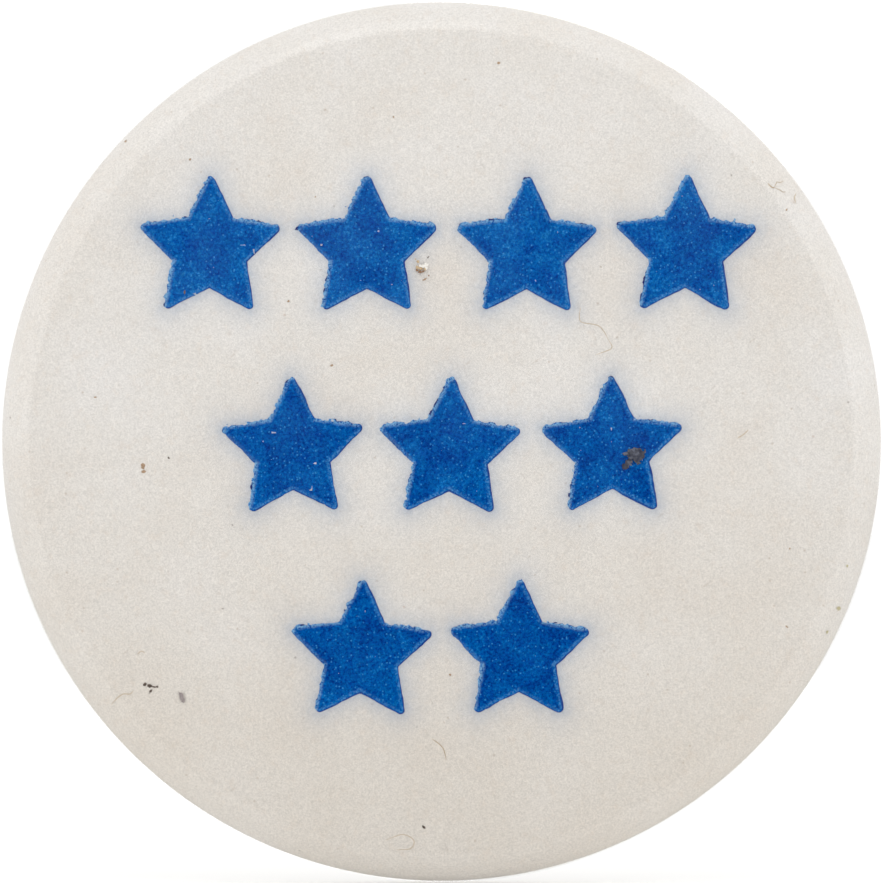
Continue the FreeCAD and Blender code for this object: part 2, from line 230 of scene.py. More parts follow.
def star_distance(x, z, radius):
    """Signed distance to a five-pointed star with rounded points, negative inside it."""
    sector = 2 * pi / 5
    angle = np.abs((np.arctan2(x, z) + sector / 2) % sector - sector / 2)
    reach = np.hypot(x, z)
    across, up = reach * np.sin(angle), reach * np.cos(angle)
    tip = radius - STAR_ROUNDING * 1.9
    notch_across = STAR_NOTCH * tip * sin(sector / 2)
    notch_up = STAR_NOTCH * tip * cos(sector / 2)
    run, rise = notch_across, notch_up - tip
    share = np.clip((across * run + (up - tip) * rise) / (run**2 + rise**2), 0, 1)
    away = np.hypot(across - share * run, up - tip - share * rise)
    inside = across * rise - (up - tip) * run > 0
    return np.where(inside, -away, away) - STAR_ROUNDING


class Star:
    """One printed star: its place, its turn and how pale its ink is."""

    def __init__(self, x, z, turn, pale, seed):
        self.x, self.z, self.turn, self.pale, self.seed = x, z, turn, pale, seed

    def clean(self, x, z):
        """Signed distance to its clean outline."""
        across, up = x - self.x, z - self.z
        turned_across = across * cos(self.turn) - up * sin(self.turn)
        turned_up = across * sin(self.turn) + up * cos(self.turn)
        return star_distance(turned_across, turned_up, STAR_RADIUS)

    def side(self, x, z):
        """-1 where the nearest edge is the upper left one, 1 where it is the lower right one."""
        nudge = 0.05
        step = self.clean(x + nudge, z - nudge) - self.clean(x - nudge, z + nudge)
        return np.clip(step / (2 * nudge * sqrt(2)), -1, 1)

    def noise(self, x, z, size, number):
        return lattice_noise(x, z, size, self.seed + number)

    def printed(self, x, z):
        """Signed distance to the printed outline: crisp below, ragged and specked above.

        The noises' sizes are in millimetres, and so is the distance by which each one shifts the edge."""
        distance, side = self.clean(x, z), self.side(x, z)
        ragged = smooth_step(0.3, -0.6, side)
        wander = 0.03 * self.noise(x, z, 0.55, 0) + 0.012 * self.noise(x, z, 0.17, 1)
        tooth = 0.05 * self.noise(x, z, 0.085, 2) + 0.03 * self.noise(x, z, 0.2, 3)
        edge = distance + wander + ragged * (tooth - 0.01)
        grain = self.noise(x, z, 0.1, 4)
        specks = 0.06 * (0.78 + 1.4 * np.maximum(distance - 0.06, 0) - grain * ragged)
        pinholes = 0.08 * (self.noise(x, z, 0.16, 5) - 0.93)
        return np.maximum(np.minimum(edge, specks), pinholes)


def lay_out_stars():
    rng = np.random.default_rng(41)
    stars = []
    for height, middle, count, pale in STAR_ROWS:
        for number in range(count):
            x = middle + (number - (count - 1) / 2) * STAR_PITCH + rng.uniform(-0.06, 0.06)
            turn = radians(rng.uniform(-1.5, 1.5))
            seed = int(rng.integers(1000))
            z = height + rng.uniform(-0.05, 0.05)
            stars.append(Star(x, z, turn, pale + rng.uniform(-0.05, 0.05), seed))
    return stars


def outlined_cells(field):
    """Marching squares: the part of a grid where the field is negative.

    Returns its points in grid units, its faces, and the edges along its outline."""
    inside = field < 0
    index = np.full(field.shape, -1)
    index[inside] = np.arange(inside.sum())
    points = np.argwhere(inside).astype(float).tolist()
    corners = np.stack([inside[:-1, :-1], inside[1:, :-1], inside[1:, 1:], inside[:-1, 1:]])
    whole = corners.all(0)
    i, j = np.nonzero(whole)
    faces = np.stack([index[i, j], index[i + 1, j], index[i + 1, j + 1], index[i, j + 1]], 1).tolist()
    crossings = {}

    def crossing(a, b):
        key = (min(a, b), max(a, b))
        if key not in crossings:
            # kept a little off the grid's points, so that no face is a sliver
            share = min(max(field[a] / (field[a] - field[b]), 0.03), 0.97)
            crossings[key] = len(points)
            points.append([a[0] + share * (b[0] - a[0]), a[1] + share * (b[1] - a[1])])
        return crossings[key]

    outline = []
    for i, j in zip(*np.nonzero(corners.any(0) & ~whole)):
        around = [(i, j), (i + 1, j), (i + 1, j + 1), (i, j + 1)]
        face, exits = [], []
        for a, b in zip(around, around[1:] + around[:1]):
            if inside[a]:
                face.append(int(index[a]))
            if inside[a] != inside[b]:
                if inside[a]:
                    exits.append(len(face))
                face.append(crossing(a, b))
        faces.append(face)
        outline += [(face[place], face[(place + 1) % len(face)]) for place in exits]
    return points, faces, outline


def thin_layer(name, shapes, step, top, bottom, look):
    """A thin solid layer on the dome between two depths. shapes are rows of the middle of a square, half
    its width and the signed distance inside it. Returns the piece and its points on X and Z."""
    flat, faces, outline = [], [], []
    for x, z, half, distance in shapes:
        line = np.arange(-half, half + step / 2, step)
        across, up = np.meshgrid(x + line, z + line, indexing="ij")
        points, cells, edges = outlined_cells(distance(across, up))
        first = len(flat)
        flat += [(x - half + a * step, z - half + b * step) for a, b in points]
        faces += [[first + corner for corner in cell] for cell in cells]
        outline += [(first + a, first + b) for a, b in edges]
    flat = np.array(flat)
    count = len(flat)
    front = np.stack([flat[:, 0], face_y(flat[:, 0], flat[:, 1], top), flat[:, 1]], 1)
    back = np.stack([flat[:, 0], face_y(flat[:, 0], flat[:, 1], bottom), flat[:, 1]], 1)
    backs = [[corner + count for corner in reversed(face)] for face in faces]
    sides = [(b, a, a + count, b + count) for a, b in outline]
    piece = mesh_piece(name, np.vstack([front, back]), faces + backs + sides, look)
    return piece, np.vstack([flat, flat])


def print_stars(stars, look):
    """The blue print as one thin layer of ink, with what its material needs to know about its edges."""
    margin = 0.45  # for the specks outside a star
    deepest = 0.4  # the distances from the edge that the ink's look needs
    shapes = [(star.x, star.z, STAR_RADIUS + margin, star.printed) for star in stars]
    piece, flat = thin_layer("star_print", shapes, PRINT_STEP, PRINT_TOP, PRINT_BOTTOM, look)
    x, z = flat[:, 0], flat[:, 1]
    nearest = np.argmin([np.hypot(x - star.x, z - star.z) for star in stars], 0)
    inward, side, pale = np.zeros(len(x)), np.zeros(len(x)), np.zeros(len(x))
    for number, star in enumerate(stars):
        mine = nearest == number
        inward[mine] = -np.minimum(star.clean(x[mine], z[mine]), deepest)
        side[mine] = star.side(x[mine], z[mine])
        pale[mine] = star.pale
    mark_points(piece, "ink_inward", inward)
    mark_points(piece, "ink_side", side)
    mark_points(piece, "ink_pale", pale)
    return piece


# ---------------------------------------------------------------- marks of age


def threaded(points):
    """A smooth line through the points given (Catmull-Rom)."""
    per_span = 8
    points = np.array(points, float)
    padded = np.vstack([2 * points[0] - points[1], points, 2 * points[-1] - points[-2]])
    line = []
    for p0, p1, p2, p3 in zip(padded, padded[1:], padded[2:], padded[3:]):
        for t in np.arange(per_span) / per_span:
            line.append(
                0.5 * (2 * p1 + (p2 - p0) * t + (2 * p0 - 5 * p1 + 4 * p2 - p3) * t**2
                       + (3 * p1 - p0 - 3 * p2 + p3) * t**3)
            )
    return np.array(line + [points[-1]])


def flat_threads(name, look, thickness, depth, threads):
    """Hairs: flattened tubes at a depth. Each is its width and a route of points on X and Z."""
    sides = 8
    turns = np.arange(sides) * 2 * pi / sides
    points, faces = [], []
    for width, route in threads:
        line = threaded(route)
        along = np.gradient(line, axis=0)
        along /= np.linalg.norm(along, axis=1)[:, None]
        first, last = len(points), len(line) - 1
        for place, ((x, z), (run, rise)) in enumerate(zip(line, along)):
            taper = 0.35 + 0.65 * min(1.0, 5 * min(place, last - place) / last)
            for turn in turns:
                out = taper * width / 2 * cos(turn)
                up = taper * thickness / 2 * sin(turn)
                across, height = x - rise * out, z + run * out
                points.append((across, face_y(across, height, depth) - up, height))
        for ring in range(first, first + last * sides, sides):
            for side in range(sides):
                a, b = ring + side, ring + (side + 1) % sides
                faces.append((a, a + sides, b + sides, b))
        faces.append(list(range(first, first + sides)))
        faces.append(list(range(first + last * sides, len(points)))[::-1])
    return mesh_piece(name, points, faces, look)


def crumbs(name, grains, look):
    """A group of broken grains on the film. Each is its place on X and Z, its size and its height."""
    shape = bmesh.new()
    for number, (x, z, size, height) in enumerate(grains):
        rng = np.random.default_rng(number + 7)
        made = bmesh.ops.create_icosphere(shape, subdivisions=2, radius=1)["verts"]
        squash = rng.uniform(0.55, 1.0)
        turn = rng.uniform(0, pi)
        pulls = rng.normal(0, 1, (5, 3))
        for vertex in made:
            direction = vertex.co.copy()
            lump = 1 + sum(0.16 * sin(2.3 * direction.dot(Vector(pull))) for pull in pulls)
            across, up = direction.x * size * lump, direction.z * size * lump * squash
            turned_x = x + across * cos(turn) - up * sin(turn)
            turned_z = z + across * sin(turn) + up * cos(turn)
            surface = face_y(turned_x, turned_z, 0.0)
            vertex.co = Vector((turned_x, surface + direction.y * height * lump, turned_z)) * MM
    mesh = bpy.data.meshes.new(name)
    shape.to_mesh(mesh)
    shape.free()
    mesh.materials.append(look)
    piece = bpy.data.objects.new(name, mesh)
    bpy.context.scene.collection.objects.link(piece)
    return piece


def blot(x, z, radius, stretch, turn, seed):
    """The square and signed distance of a ragged stain."""

    def distance(across, up):
        a = (across - x) * cos(turn) + (up - z) * sin(turn)
        b = (up - z) * cos(turn) - (across - x) * sin(turn)
        ragged = 0.35 * radius * lattice_noise(across, up, radius * 0.6, seed)
        ragged += 0.25 * radius * lattice_noise(across, up, radius * 0.25, seed + 1)
        return np.hypot(a / stretch, b) - radius + ragged

    return x, z, radius * (stretch + 0.9), distance


def stains(name, look, depths, first_seed, places):
    """A group of stains between two depths. Each is its place on X and Z, its radius, how many times as long
    as wide it is, and the turn of its length."""
    shapes = [blot(*place, first_seed + number) for number, place in enumerate(places)]
    return thin_layer(name, shapes, STAIN_STEP, *depths, look)[0]


def marks_of_age():
    """The hairs, specks, stains and crumbs that an old badge's face has gathered, with a painted shadow of
    dark grains under the chip of crumbs.
    """
    hair_depth = SHOWN_DEPTH - 0.007
    under_film = (SHOWN_DEPTH - 0.012, SHOWN_DEPTH - 0.001)
    on_film = (-0.007, 0.002)
    tan = grain_look("tan_hair", srgb(203, 185, 161), srgb(176, 157, 134))
    faint = grain_look("faint_hair", srgb(210, 194, 174), srgb(199, 181, 159))
    dark = grain_look("dark_speck", srgb(80, 71, 65), srgb(116, 103, 95), size=0.05)
    grey = grain_look("grey_smudge", srgb(50, 54, 70), srgb(72, 74, 84), srgb(100, 104, 118), size=0.2)
    pale_grey = grain_look("grey_mark", srgb(140, 131, 130), srgb(158, 149, 147), size=0.12)
    brown = grain_look("brown_speck", srgb(152, 124, 101), srgb(194, 169, 143), size=0.05)
    olive = grain_look("olive_speck", srgb(176, 165, 122), srgb(206, 198, 168), size=0.06)
    white = grain_look("white_crumb", srgb(240, 238, 234), srgb(230, 224, 214), size=0.05)
    crumb = grain_look("tan_crumb", srgb(212, 190, 158), srgb(182, 156, 122), size=0.05)
    # dark brown for the grains that paint the chip's shadow
    umber = grain_look("painted_shadow_grain", srgb(118, 88, 68), srgb(160, 126, 96), size=0.05)

    hairs = flat_threads("hairs", tan, 0.011, hair_depth, (
        (0.045, ((11.71, 9.27), (11.8, 9.17), (11.9, 9.11), (11.95, 9.13))),
        (0.026, ((11.95, 9.12), (12.16, 9.02), (12.25, 8.96), (12.37, 8.96))),
        (0.024, ((11.95, 9.13), (12.0, 9.24), (12.05, 9.32), (12.16, 9.3), (12.31, 9.37))),
        (0.034, ((-0.35, -10.65), (-0.14, -10.79), (0.02, -10.94), (0.1, -11.1), (0.17, -11.41))),
    ))
    faint_hairs = flat_threads("faint_hairs", faint, 0.008, hair_depth, (
        (0.034, ((-11.85, -9.44), (-11.62, -9.19), (-11.41, -9.06), (-11.18, -9.06), (-11.05, -8.94))),
        (0.03, ((-10.91, -7.63), (-10.77, -7.52), (-10.63, -7.58))),
        (0.03, ((12.72, 8.55), (12.68, 8.75), (12.74, 8.92))),
        (0.03, ((-2.0, -14.3), (-1.4, -14.1), (-1.0, -14.3), (-1.1, -14.6), (-1.6, -14.65))),
        (0.035, ((10.6, 0.12), (10.8, 0.24), (11.0, 0.42))),
        (0.026, ((4.98, 4.8), (4.93, 4.5), (5.02, 4.27), (5.58, 4.16), (5.81, 3.94), (5.96, 3.66))),
        (0.028, ((5.96, 3.66), (6.1, 3.42), (6.04, 3.3), (5.9, 3.24), (5.51, 3.1))),
    ))
    dark_specks = stains("dark_specks", dark, under_film, 1, (
        (-10.64, -8.71, 0.054, 1.15, 0.4),
        (-10.47, -8.76, 0.068, 1.2, -0.3),
        (-10.32, -8.8, 0.032, 3.2, -0.1),
        (-10.2, -8.79, 0.038, 1.1, 0.0),
        (-10.43, -8.95, 0.036, 2.1, 0.9),
        (-0.64, -13.83, 0.042, 1.6, -0.8),
        (-9.2, 5.35, 0.036, 2.2, 1.5),
        (-0.47, 6.6, 0.02, 2.6, 0.7),
        (-9.77, -0.59, 0.034, 1.1, 0.3),
    ))
    brown_specks = stains("brown_specks", brown, under_film, 11, (
        (-10.7, -0.88, 0.075, 1.3, 1.2),
        (-10.66, -1.07, 0.055, 1.4, 0.3),
        (2.05, 13.58, 0.046, 1.1, 0.0),
        (-3.92, 2.73, 0.04, 1.2, 0.4),
        (-5.48, 5.02, 0.034, 1.3, 0.0),
        (0.31, -8.35, 0.036, 1.3, 1.2),
        (12.49, -3.84, 0.032, 1.1, 0.0),
        (12.39, -6.65, 0.024, 2.3, -0.7),
        (12.39, 8.32, 0.03, 1.7, 0.8),
        (-9.02, 10.11, 0.036, 1.3, 0.3),
        (-4.52, 8.76, 0.026, 1.3, 0.9),
        (-0.6, 5.8, 0.026, 3.6, 0.55),
        (-12.41, 1.59, 0.024, 2.4, 0.1),
        (-1.72, 11.63, 0.026, 1.1, 0.0),
        (-11.36, 10.8, 0.036, 1.3, 0.8),
    ))
    olive_specks = stains("olive_specks", olive, under_film, 31, (
        (14.26, -6.0, 0.06, 1.15, 0.4),
        (13.86, -6.85, 0.042, 1.5, 1.2),
        (14.57, -4.47, 0.036, 1.2, 1.2),
    ))
    smudges = stains("grey_smudges", grey, on_film, 21, (
        (7.0, -0.5, 0.26, 1.25, -0.3),
        (6.66, -0.8, 0.11, 2.1, 0.75),
        (6.62, -0.42, 0.07, 1.8, 0.1),
    ))
    grey_mark = stains("grey_mark", pale_grey, on_film, 24, ((-9.32, -9.17, 0.078, 2.4, -1.15),))

    # a chip of old glue or paint that has broken up on the film, with dark brown grains along its lower side
    # that paint its shadow: its grains' places are from its middle
    chip = []
    for name, look, grains in (
        ("white_crumbs", white, (
            (-0.11, 0.03, 0.055, 0.03),
            (0.0, 0.04, 0.085, 0.035),
            (0.11, 0.06, 0.08, 0.035),
            (0.13, -0.04, 0.055, 0.03),
        )),
        ("tan_crumbs", crumb, (
            (-0.21, -0.03, 0.065, 0.04),
            (-0.09, -0.05, 0.07, 0.035),
            (0.07, -0.08, 0.05, 0.03),
            (-0.17, 0.2, 0.05, 0.018),
            (-0.27, 0.28, 0.028, 0.01),
        )),
        # painted shadow: dark brown grains along the chip's lower side stand in for the shade that the chip
        # casts
        ("painted_shadow_grains", umber, (
            (-0.22, -0.13, 0.045, 0.02),
            (-0.11, -0.17, 0.065, 0.025),
            (0.0, -0.16, 0.04, 0.02),
            (0.21, -0.31, 0.025, 0.01),
        )),
    ):
        placed = [(CHIP_X + x, CHIP_Z + z, grain_size, height) for x, z, grain_size, height in grains]
        chip.append(crumbs(name, placed, look))
    return hairs, faint_hairs, dark_specks, brown_specks, olive_specks, smudges, grey_mark, *chip


# ---------------------------------------------------------------- spring pin


def arc_points(centre, radius, first, last, spacing):
    """Points on X and Z along an arc."""
    count = max(2, round(abs(last - first) * radius / spacing))
    angles = np.linspace(first, last, count + 1)
    return np.stack([centre[0] + radius * np.cos(angles), centre[1] + radius * np.sin(angles)], 1)


def line_points(start, end, spacing):
    count = max(2, round(hypot(end[0] - start[0], end[1] - start[1]) / spacing))
    return np.linspace(start, end, count + 1)


def wire_routes():
    """The wire's middle line in three stretches: the ring, the elbow and the arm."""
    hinge_angle = atan2(BEND_HINGE.z, BEND_HINGE.x)
    stay = 3.0 / RING_RADIUS  # the elbow's stretch takes in a little of the ring
    ring = arc_points((0, 0), RING_RADIUS, hinge_angle - RING_SWEEP, hinge_angle - stay, spacing=0.25)
    lead = arc_points((0, 0), RING_RADIUS, hinge_angle - stay, hinge_angle, spacing=0.15)

    share = (RING_RADIUS - ELBOW_RADIUS) / RING_RADIUS
    bend_at = (BEND_HINGE.x * share, BEND_HINGE.z * share)
    to_arm = (ARM_HINGE.x - bend_at[0], ARM_HINGE.z - bend_at[1])
    bend_end = atan2(to_arm[1], to_arm[0]) - (pi / 2 - asin(ELBOW_RADIUS / hypot(*to_arm)))
    bend = arc_points(bend_at, ELBOW_RADIUS, hinge_angle, bend_end, spacing=0.1)
    middle = (bend[-1] + np.array([ARM_HINGE.x, ARM_HINGE.z])) / 2
    run = line_points(bend[-1], middle, spacing=0.2)
    elbow = np.vstack([lead, bend[1:], run[1:]])

    # the arm's start eases from the run's direction into its own
    ease = threaded([middle, (ARM_HINGE.x + 0.25, 0.035), (ARM_HINGE.x - 0.6, 0.0), (ARM_HINGE.x - 1.4, 0.0)])
    shank_end = TIP_X + POINT_LENGTH
    shank = line_points(ease[-1], (shank_end, 0.0), spacing=0.3)
    point = line_points((shank_end, 0.0), (TIP_X, 0.0), spacing=0.08)
    return ring, elbow, np.vstack([ease, shank[1:], point[1:]])


def wire_piece(name, route, radii, look):
    """A round wire along a flat route, with closed ends."""
    sides = WIRE_SIDES
    turns = np.arange(sides) * 2 * pi / sides
    along = np.gradient(route, axis=0)
    along /= np.linalg.norm(along, axis=1)[:, None]
    reach = np.cos(turns) * radii[:, None]
    points = np.stack([
        route[:, 0, None] - along[:, 1, None] * reach,
        WIRE_Y + np.sin(turns) * radii[:, None],
        route[:, 1, None] + along[:, 0, None] * reach,
    ], -1).reshape(-1, 3)
    rings = len(route)
    start = np.arange(rings - 1)[:, None] * sides + np.arange(sides)
    onward = np.arange(rings - 1)[:, None] * sides + (np.arange(sides) + 1) % sides
    faces = np.stack([start, start + sides, onward + sides, onward], -1).reshape(-1, 4).tolist()
    faces.append(list(range(sides)))
    faces.append(list(range((rings - 1) * sides, rings * sides))[::-1])
    piece = mesh_piece(name, points, faces, look)
    travelled = np.concatenate([[0], np.cumsum(np.linalg.norm(np.diff(route, axis=0), axis=1))])
    mark_points(piece, "wire_along", np.repeat(travelled, sides))
    mark_points(piece, "wire_around", np.tile(np.cos(turns), rings))
    return piece


def spring_pin(look):
    ring_route, elbow_route, arm_route = wire_routes()
    # the ring's free end is a cut one with its edge broken
    cut = np.minimum(WIRE_RADIUS, WIRE_RADIUS * (0.86 + 0.14 * np.arange(len(ring_route))))
    ring = wire_piece("wire_ring", ring_route, cut, look)
    elbow = wire_piece("wire_elbow", elbow_route, np.full(len(elbow_route), WIRE_RADIUS), look)

    # the ground point is an arc that is tangent to the shank
    drop = WIRE_RADIUS - POINT_RADIUS
    grind_radius = (POINT_LENGTH**2 + drop**2) / (2 * drop)
    into = np.maximum(TIP_X + POINT_LENGTH - arm_route[:, 0], 0)
    radii = WIRE_RADIUS - grind_radius + np.sqrt(grind_radius**2 - into**2)
    arm = wire_piece("wire_arm", arm_route, radii, look)
    mark_points(arm, "wire_ground", np.repeat(smooth_step(-0.1, 0.25, into), WIRE_SIDES))
    return ring, elbow, arm


# ---------------------------------------------------------------- materials


def srgb(red, green, blue):
    """A colour given as display values from 0 to 255, made linear."""

    def linear(value):
        share = value / 255
        return share / 12.92 if share < 0.04045 else ((share + 0.055) / 1.055) ** 2.4

    return linear(red), linear(green), linear(blue), 1.0


class Look:
    """A node material. Its textures read the place in millimetres, in the object's own frame."""

    def __init__(self, name):
        self.material = bpy.data.materials.new(name)
        self.material.use_nodes = True
        self.tree = self.material.node_tree
        self.shader = self.tree.nodes["Principled BSDF"]
        self.output = self.tree.nodes["Material Output"]
        self.place = self.stretched(self.add("TexCoord").outputs["Object"], (1 / MM, 1 / MM, 1 / MM))

    def add(self, kind, inputs=None, **settings):
        node = self.tree.nodes.new("ShaderNode" + kind)
        for name, value in settings.items():
            setattr(node, name, value)
        for socket, value in (inputs or {}).items():
            self.feed(node.inputs[socket], value)
        return node

    def feed(self, socket, value):
        if isinstance(value, bpy.types.NodeSocket):
            self.tree.links.new(value, socket)
        else:
            socket.default_value = value

    def set(self, **inputs):
        """Sets or links the Principled shader's sockets, with words joined by underscores."""
        for name, value in inputs.items():
            self.feed(self.shader.inputs[name.replace("_", " ")], value)

    def stretched(self, vector, scale):
        node = self.add("VectorMath", {0: vector, 1: scale}, operation="MULTIPLY")
        return node.outputs["Vector"]

    def scaled(self, vector, factor):
        node = self.add("VectorMath", {0: vector, "Scale": factor}, operation="SCALE")
        return node.outputs["Vector"]

    def turned(self, angle, scale):
        """The place turned about Y and then stretched."""
        inputs = {"Vector": self.place, "Angle": angle}
        node = self.add("VectorRotate", inputs, rotation_type="Y_AXIS")
        return self.stretched(node.outputs["Vector"], scale)

    def noise(self, size, detail=2.0, roughness=0.5, vector=None):
        inputs = {"Vector": vector or self.place, "Scale": 1 / size, "Detail": detail, "Roughness": roughness}
        return self.add("TexNoise", inputs).outputs[0]

    def level(self, value, low, high, to_low=0.0, to_high=1.0):
        """A value taken from one range to another, held at its ends, with eased ends."""
        inputs = {"Value": value, "From Min": low, "From Max": high, "To Min": to_low, "To Max": to_high}
        return self.add("MapRange", inputs, interpolation_type="SMOOTHSTEP").outputs["Result"]

    def ramp(self, value, *stops):
        node = self.add("ValToRGB", {"Fac": value})
        elements = node.color_ramp.elements
        elements[0].position, elements[0].color = stops[0]
        elements[-1].position, elements[-1].color = stops[-1]
        for position, colour in stops[1:-1]:
            elements.new(position).color = colour
        return node.outputs["Color"]

    def mix(self, share, first, second):
        """Two colours mixed: sockets 6 and 7 are a Mix node's colours, and output 2 is its colour."""
        return self.add("Mix", {0: share, 6: first, 7: second}, data_type="RGBA").outputs[2]

    def sum(self, operation, first, second=0.0):
        return self.add("Math", {0: first, 1: second}, operation=operation).outputs[0]

    def stored(self, name):
        return self.add("Attribute", attribute_name=name).outputs["Fac"]

    def axis(self, name):
        return self.add("SeparateXYZ", {0: self.place}).outputs[name]

    def specks(self, cell, size, share, vector=None):
        """A mask of scattered specks: one cell in so many holds one, of about the size given."""
        vector = vector or self.place
        wobble = self.add("TexNoise", {"Vector": vector, "Scale": 2.2 / size, "Detail": 1.0})
        moved = self.scaled(wobble.outputs["Color"], size * 1.6)
        at = self.add("VectorMath", {0: vector, 1: moved}, operation="ADD")
        cells = self.add("TexVoronoi", {"Vector": at.outputs["Vector"], "Scale": 1 / cell})
        draw = self.add("SeparateXYZ", {0: cells.outputs["Color"]}).outputs["X"]
        chosen = self.level(draw, share, share - 0.02)
        near = self.level(cells.outputs["Distance"], size / cell, 0.45 * size / cell)
        return self.sum("MULTIPLY", near, chosen)

    def bumps(self, height, strength, distance):
        """Bump of a height texture; distance is in millimetres."""
        node = self.add("Bump", {"Strength": strength, "Distance": distance * MM, "Height": height})
        return node.outputs["Normal"]


def paper_look():
    """Off-white coated paper: mottled and freckled, with painted shade that makes it darker and yellower low
    down, and a blue haze near the ink.
    """
    look = Look("aged_print_paper")
    cloud = look.noise(4.5, 5, 0.55)
    tones = ((0.3, srgb(224, 218, 212)), (0.5, srgb(227, 223, 219)), (0.72, srgb(230, 227, 225)))
    colour = look.ramp(cloud, *tones)
    # painted shade: the paper is made darker and yellower towards the bottom, where less of the light from
    # above falls, in uneven clouds
    low = look.level(look.axis("Z"), 3.0, -17.0, 0.0, 0.65)
    painted_low_shade = look.sum("MULTIPLY", low, look.level(look.noise(6.0, 3), 0.3, 0.65, 0.78, 1.06))
    colour = look.mix(painted_low_shade, colour, srgb(217, 209, 199))
    fibre = look.noise(0.16, 5, 0.8)
    colour = look.scaled(colour, look.level(fibre, 0.25, 0.75, 0.955, 1.055))
    grain = look.noise(0.06, 2, 0.7)
    colour = look.scaled(colour, look.level(grain, 0.25, 0.75, 0.88, 1.12))
    warm = look.noise(0.35, 4, 0.7)
    colour = look.mix(look.level(warm, 0.5, 0.75, 0.0, 0.2), colour, srgb(214, 196, 178))
    tan = look.specks(0.62, 0.055, 0.5)
    colour = look.mix(look.sum("MULTIPLY", tan, 0.36), colour, srgb(164, 138, 112))
    dashes = look.specks(0.5, 0.045, 0.28, look.turned(0.6, (0.22, 1, 1)))
    colour = look.mix(look.sum("MULTIPLY", dashes, 0.22), colour, srgb(170, 150, 128))
    cross = look.specks(0.5, 0.04, 0.2, look.turned(-1.0, (0.2, 1, 1)))
    colour = look.mix(look.sum("MULTIPLY", cross, 0.22), colour, srgb(160, 150, 142))
    dark = look.specks(1.3, 0.05, 0.35)
    colour = look.mix(look.sum("MULTIPLY", dark, 0.6), colour, srgb(122, 106, 96))
    rusty = look.specks(1.9, 0.07, 0.35)
    colour = look.mix(look.sum("MULTIPLY", rusty, 0.5), colour, srgb(176, 132, 98))
    away = look.sum("MAXIMUM", look.stored("ink_near"), 0.0)
    haze = look.sum("MULTIPLY", look.sum("POWER", 0.077, away), 0.5)
    haze = look.sum("MULTIPLY", haze, look.level(look.noise(0.3, 4, 0.6), 0.3, 0.7, 0.8, 1.2))
    colour = look.mix(haze, colour, srgb(146, 166, 193))
    hem = look.level(look.stored("hem"), 0.0, 1.0, 0.0, 0.55)
    colour = look.mix(hem, colour, srgb(205, 190, 163))
    look.set(Base_Color=colour, Roughness=0.72, Specular_IOR_Level=0.15)
    look.set(Normal=look.bumps(look.noise(0.12, 4, 0.6), 0.25, 0.02))
    return look.material


def ink_look():
    """Blue printing ink: deep and mottled, with a dark outline and a paler band low, and a fuzzy top edge."""
    look = Look("blue_ink")
    mottle = look.noise(0.11, 4, 0.8)
    patches = look.noise(0.9, 2, 0.5)
    tone = look.sum("ADD", mottle, look.level(patches, 0.3, 0.7, -0.06, 0.06))
    tone = look.sum("ADD", tone, look.sum("MULTIPLY", look.stored("ink_pale"), 0.16))
    colour = look.ramp(
        tone,
        (0.3, srgb(0, 44, 122)),
        (0.43, srgb(0, 64, 145)),
        (0.53, srgb(0, 81, 160)),
        (0.62, srgb(2, 97, 174)),
        (0.77, srgb(36, 130, 198)),
    )
    violet = look.level(look.noise(0.7, 3, 0.6), 0.55, 0.75, 0.0, 0.3)
    colour = look.mix(violet, colour, srgb(6, 54, 146))
    grain = look.noise(0.075, 2, 0.7)
    colour = look.scaled(colour, look.level(grain, 0.3, 0.7, 0.8, 1.2))
    thin = look.specks(0.14, 0.04, 0.45)
    colour = look.mix(look.sum("MULTIPLY", thin, 0.75), colour, srgb(60, 150, 214))
    inward, side = look.stored("ink_inward"), look.stored("ink_side")
    wobble = look.level(look.noise(0.12, 3, 0.7), 0.25, 0.75, -0.04, 0.04)
    depth = look.sum("ADD", inward, wobble)

    # low edges: a paler band inside a thin dark outline
    lower = look.level(side, -0.1, 0.5)
    band = look.sum("MULTIPLY", look.level(depth, 0.21, 0.08), lower)
    pale = look.ramp(look.noise(0.07, 2, 0.6), (0.4, srgb(4, 98, 175)), (0.7, srgb(96, 160, 214)))
    colour = look.mix(look.sum("MULTIPLY", band, 0.7), colour, pale)
    line = look.sum("MULTIPLY", look.level(inward, 0.07, 0.03), lower)
    line = look.sum("MULTIPLY", line, look.level(look.noise(0.4, 3, 0.6), 0.3, 0.6, 0.4, 0.75))
    colour = look.mix(line, colour, srgb(40, 42, 116))

    # high edges: broken by pale specks, with dark grains at the very edge
    upper = look.level(side, 0.25, -0.4)
    fuzz = look.sum("MULTIPLY", look.level(depth, 0.18, 0.0), upper)
    speckle = look.level(look.noise(0.06, 2, 0.7), 0.36, 0.58)
    broken = look.sum("MULTIPLY", look.sum("MULTIPLY", fuzz, speckle), 0.95)
    colour = look.mix(broken, colour, srgb(130, 178, 216))
    grains = look.sum("MULTIPLY", look.level(inward, 0.05, -0.02), look.level(look.noise(0.3, 2), 0.54, 0.62))
    colour = look.mix(look.sum("MULTIPLY", grains, upper), colour, srgb(40, 44, 104))
    look.set(Base_Color=colour, Roughness=0.6, Specular_IOR_Level=0.0)
    look.set(Normal=look.bumps(mottle, 0.2, 0.01))
    return look.material


